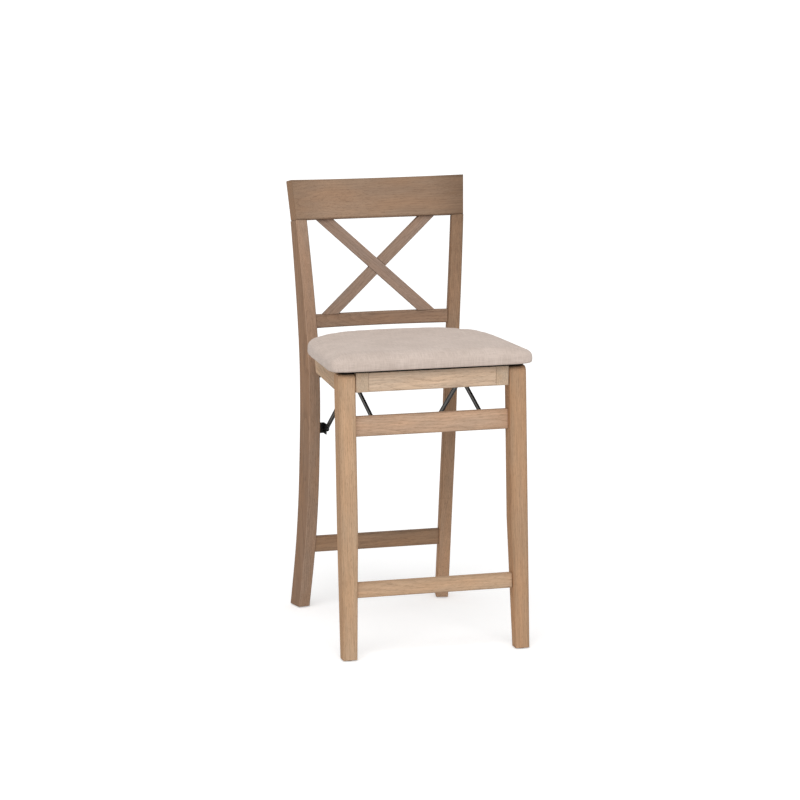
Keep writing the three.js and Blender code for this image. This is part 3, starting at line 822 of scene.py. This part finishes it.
# The simulation's mesh, the strip held on the board, the pressure and steps, and the furthest move
PAD_VOXEL = 0.005
PAD_HELD = 0.004
PAD_PRESSURE = 4.0
PAD_LAST_STEP = 20
PAD_MOVE_LIMIT = 0.003


def settled_mesh(piece):
    """Puts what the modifiers make into the piece's own mesh and takes them off."""
    graph = bpy.context.evaluated_depsgraph_get()
    made = bpy.data.meshes.new_from_object(piece.evaluated_get(graph))
    piece.modifiers.clear()
    old = piece.data
    piece.data = made
    made.name = piece.name
    bpy.data.meshes.remove(old)


def pad_place(angle, level, height, tuck=0.0):
    """A point of the pad's cover: level is 1 at the widest ring and 0 in the middle of the top."""
    low, high = CUSHION_BOX
    depth = (high.y - low.y) / 2
    across, along = math.cos(angle), math.sin(angle)
    corner = PAD_CORNER_FRONT if along < 0 else PAD_CORNER_REAR
    power = PAD_CORNER_TOP + (corner - PAD_CORNER_TOP) * level ** 2
    reach = (abs(across) ** power + abs(along) ** power) ** (-1 / power)
    x = (PAD_HALF - tuck) * level * across * reach
    y = (depth - tuck) * level * along * reach
    return Vector((x * (1 - PAD_TAPER * y / depth), (low.y + high.y) / 2 + y, height))


def pad_rings():
    """Level, height and tuck of each ring, from the lower edge to near the middle of the top."""
    bottom = CUSHION_BOX[0].z
    for step in range(PAD_LOW_RINGS + 1):
        rise = math.sin(math.pi / 2 * step / PAD_LOW_RINGS)
        yield 1.0, bottom + (PAD_WIDEST - bottom) * rise, PAD_LOW_TUCK * (1 - rise)
    for step in range(1, PAD_LEVELS):
        level = 1 - (step / PAD_LEVELS) ** PAD_CROWDING
        rise = (1 - level ** PAD_DOME) ** (1 / PAD_FLANK)
        yield level, PAD_WIDEST + (PAD_TOP - PAD_WIDEST) * rise, 0.0


def pad_blank():
    """The pad before it swells: one ring drawn up over itself, ring by ring."""
    shape = bmesh.new()
    angles = shape.verts.layers.float.new("angle")
    made = bmesh.ops.create_circle(shape, cap_ends=True, segments=PAD_SEGMENTS, radius=1)
    for vertex in made["verts"]:
        vertex[angles] = math.atan2(vertex.co.y, vertex.co.x)
    ring = list(shape.edges)
    for count, (level, height, tuck) in enumerate(pad_rings()):
        if count:
            extruded = bmesh.ops.extrude_edge_only(shape, edges=ring)["geom"]
            ring = [part for part in extruded if isinstance(part, bmesh.types.BMEdge)]
        for vertex in {vertex for edge in ring for vertex in edge.verts}:
            vertex.co = pad_place(vertex[angles], level, height, tuck)
    bmesh.ops.contextual_create(shape, geom=ring)
    bmesh.ops.recalc_face_normals(shape, faces=shape.faces)
    return new_object("seat_pad", shape, LINEN)


def swell(pad):
    """Cloth simulation: the cover swells over its stuffing, and its underside stays on the board."""
    remesh = pad.modifiers.new("even", "REMESH")
    remesh.mode = "VOXEL"
    remesh.voxel_size = PAD_VOXEL
    settled_mesh(pad)
    held = pad.vertex_groups.new(name="held")
    held_below = CUSHION_BOX[0].z + PAD_HELD
    held.add([v.index for v in pad.data.vertices if v.co.z < held_below], 1.0, "REPLACE")
    start = [v.co.copy() for v in pad.data.vertices]
    cloth = pad.modifiers.new("swell", "CLOTH")
    settings = cloth.settings
    settings.quality = 6
    settings.mass = 0.3
    settings.use_pressure = True
    settings.uniform_pressure_force = PAD_PRESSURE
    settings.vertex_group_mass = "held"
    settings.effector_weights.gravity = 0
    cloth.collision_settings.use_collision = False
    cloth.point_cache.frame_start = 1
    cloth.point_cache.frame_end = PAD_LAST_STEP
    for step in range(1, PAD_LAST_STEP + 1):
        bpy.context.scene.frame_set(step)
    settled_mesh(pad)
    bpy.context.scene.frame_set(1)
    for vertex, before in zip(pad.data.vertices, start):
        move = vertex.co - before
        if move.length > PAD_MOVE_LIMIT:
            vertex.co = before + move.normalized() * PAD_MOVE_LIMIT


def extent(piece):
    """The lowest and the highest value of each axis."""
    points = [v.co for v in piece.data.vertices]
    low, high = [[pick(point[axis] for point in points) for axis in range(3)] for pick in (min, max)]
    return low, high


def draw_taut(pad, cut_size):
    """The cover is pulled back to the size that it was cut for."""
    low, high = cut_size
    least, most = extent(pad)
    for axis in range(3):
        stretch = (high[axis] - low[axis]) / (most[axis] - least[axis])
        for vertex in pad.data.vertices:
            vertex.co[axis] = low[axis] + (vertex.co[axis] - least[axis]) * stretch


def smooth_pad(pad):
    even = pad.modifiers.new("smooth", "SMOOTH")
    even.factor = 0.5
    even.iterations = 2
    finer = pad.modifiers.new("finer", "SUBSURF")
    finer.levels = 1
    finer.render_levels = 1
    settled_mesh(pad)
    for face in pad.data.polygons:
        face.use_smooth = True


def map_threads(pad):
    """Warp and weft run level over the top and straight down the sides."""
    top = max(v.co.z for v in pad.data.vertices)
    threads = pad.data.uv_layers.new(name="threads")
    for loop in pad.data.loops:
        vertex = pad.data.vertices[loop.vertex_index]
        drop = top - vertex.co.z
        normal = vertex.normal
        threads.data[loop.index].uv = (
            vertex.co.x + normal.x * drop,
            vertex.co.y + normal.y * drop,
        )


def make_pad():
    pad = pad_blank()
    cut_size = extent(pad)
    swell(pad)
    smooth_pad(pad)
    draw_taut(pad, cut_size)
    map_threads(pad)
    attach(pad, "seat")
    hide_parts("seat_cushion")


make_pad()


# Screws and staples

# The drawing's distances behind the front feet, in millimetres, start this far from the middle
FEET_TO_MIDDLE = 317.224


def drawn(x, y, z):
    """A place on the drawing: to the right, behind the front feet and above the floor."""
    return Vector((x, y - FEET_TO_MIDDLE, z)) * MM


SCREW_SIDES = 12
WAIST_EVERY = SCREW_SIDES // 4
SCREW_RADIUS = 0.0032
SMALL_SCREW_RADIUS = 0.0028
SCREW_HEIGHT = 0.0016
# Shares of the head: the narrower top, the rim round the cross, the cross's waist, its depth, and
# how high the head's middle stands over the surface
HEAD_TOP = 0.82
HEAD_RIM = 0.2
CROSS_WAIST = 0.34
CROSS_DEPTH = 0.6
HEAD_STAND = 0.4


def screw(name, solid, start, direction, body, radius=SCREW_RADIUS):
    """A cross-head screw, seated where a line from the start first meets the solid."""
    surface = merged_copy(solid)
    place, normal, _, _ = BVHTree.FromBMesh(surface).ray_cast(start, Vector(direction).normalized())
    surface.free()
    if place is None:
        raise SystemExit(f"{name} misses {solid}")
    shape = bmesh.new()
    bmesh.ops.create_cone(
        shape, cap_ends=True, segments=SCREW_SIDES,
        radius1=radius, radius2=radius * HEAD_TOP, depth=SCREW_HEIGHT,
    )
    top = max(shape.faces, key=lambda face: face.calc_center_median().z)
    bmesh.ops.inset_region(shape, faces=[top], thickness=radius * HEAD_RIM)
    for count, vertex in enumerate(list(top.verts)):
        if count % WAIST_EVERY == 0:
            vertex.co.x *= CROSS_WAIST
            vertex.co.y *= CROSS_WAIST
    sunk = bmesh.ops.extrude_face_region(shape, geom=[top])["geom"]
    deep = [part for part in sunk if isinstance(part, bmesh.types.BMVert)]
    bmesh.ops.translate(shape, verts=deep, vec=(0, 0, -SCREW_HEIGHT * CROSS_DEPTH))
    upright = normal.to_track_quat("Z", "Y").to_matrix().to_4x4()
    bmesh.ops.transform(shape, verts=shape.verts, matrix=upright)
    bmesh.ops.translate(shape, verts=shape.verts, vec=place + normal * SCREW_HEIGHT * HEAD_STAND)
    bmesh.ops.recalc_face_normals(shape, faces=shape.faces)
    piece = new_object(name, shape, ZINC if body == "seat" else BLACK_ENAMEL)
    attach(piece, body)


# The screws on each side: their name, the piece they hold, where the line to each starts on the
# drawing and which way it points, both as on the right, the body they ride on, and their size
SIDE_SCREWS = (
    ("rear_bracket", "rear_link_bracket", ((158, 537, 485), (158, 537, 500.5)),
     (1, 0, 0), "rear_frame", SCREW_RADIUS),
    ("front_bracket", "front_link_bracket", ((154.5, 130, 583.5), (154.5, 130, 594.5)),
     (0, -1, 0), "front_frame", SMALL_SCREW_RADIUS),
    ("hinge_arm", "hinge_arm", ((130, 508, 637.8), (130, 528, 637.8)),
     (1, 0, 0), "rear_frame", SCREW_RADIUS),
    ("corner_block", "corner_block", ((120, 108, 697), (120, 108, 706)),
     (1, -1, 0), "seat", SCREW_RADIUS),
)
BATTEN_SCREWS = ((-110, 364, 660), (0, 364, 660), (110, 364, 660))


def drive_screws():
    for side, outwards in SIDES:
        for name, solid, starts, (x_way, y_way, z_way), body, radius in SIDE_SCREWS:
            way = (outwards * x_way, y_way, z_way)
            for count, (x, y, z) in enumerate(starts):
                start = drawn(outwards * x, y, z)
                screw(f"{name}_screw_{side}_{count}", f"{solid}_{side}", start, way, body, radius)
    for count, start in enumerate(BATTEN_SCREWS):
        screw(f"batten_screw_{count}", "seat_batten", drawn(*start), (0, 0, 1), "seat")


STAPLE = (0.0100, 0.0012, 0.0007)
# Where the staples lie on the drawing, in millimetres: a little sunk into the board's underside, in
# a row behind the apron, one along the rear and one along each side, where they lie turned
STAPLE_HEIGHT = 718.0
STAPLE_PITCH = 40
STAPLE_ROWS_Y = (70, 418)
STAPLE_ROWS_X = (-222, 222)


def staple_cover():
    """The cover and the dust cloth are stapled to the board's underside, all round its edge."""
    places = [(x, y, 0) for y in STAPLE_ROWS_Y for x in range(-120, 121, STAPLE_PITCH)]
    places += [(x, y, 90) for x in STAPLE_ROWS_X for y in range(120, 361, STAPLE_PITCH)]
    shape = bmesh.new()
    for x, y, turn in places:
        made = bmesh.ops.create_cube(shape, size=1)["verts"]
        bmesh.ops.scale(shape, verts=made, vec=STAPLE)
        bmesh.ops.rotate(shape, verts=made, matrix=Matrix.Rotation(math.radians(turn), 3, "Z"))
        bmesh.ops.translate(shape, verts=made, vec=drawn(x, y, STAPLE_HEIGHT))
    bmesh.ops.bevel(
        shape, geom=shape.edges, offset=0.0002, offset_type="OFFSET", affect="EDGES", segments=1,
        profile=0.5, material=-1,
    )
    piece = new_object("cover_staples", shape, ZINC)
    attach(piece, "seat")


drive_screws()
staple_cover()
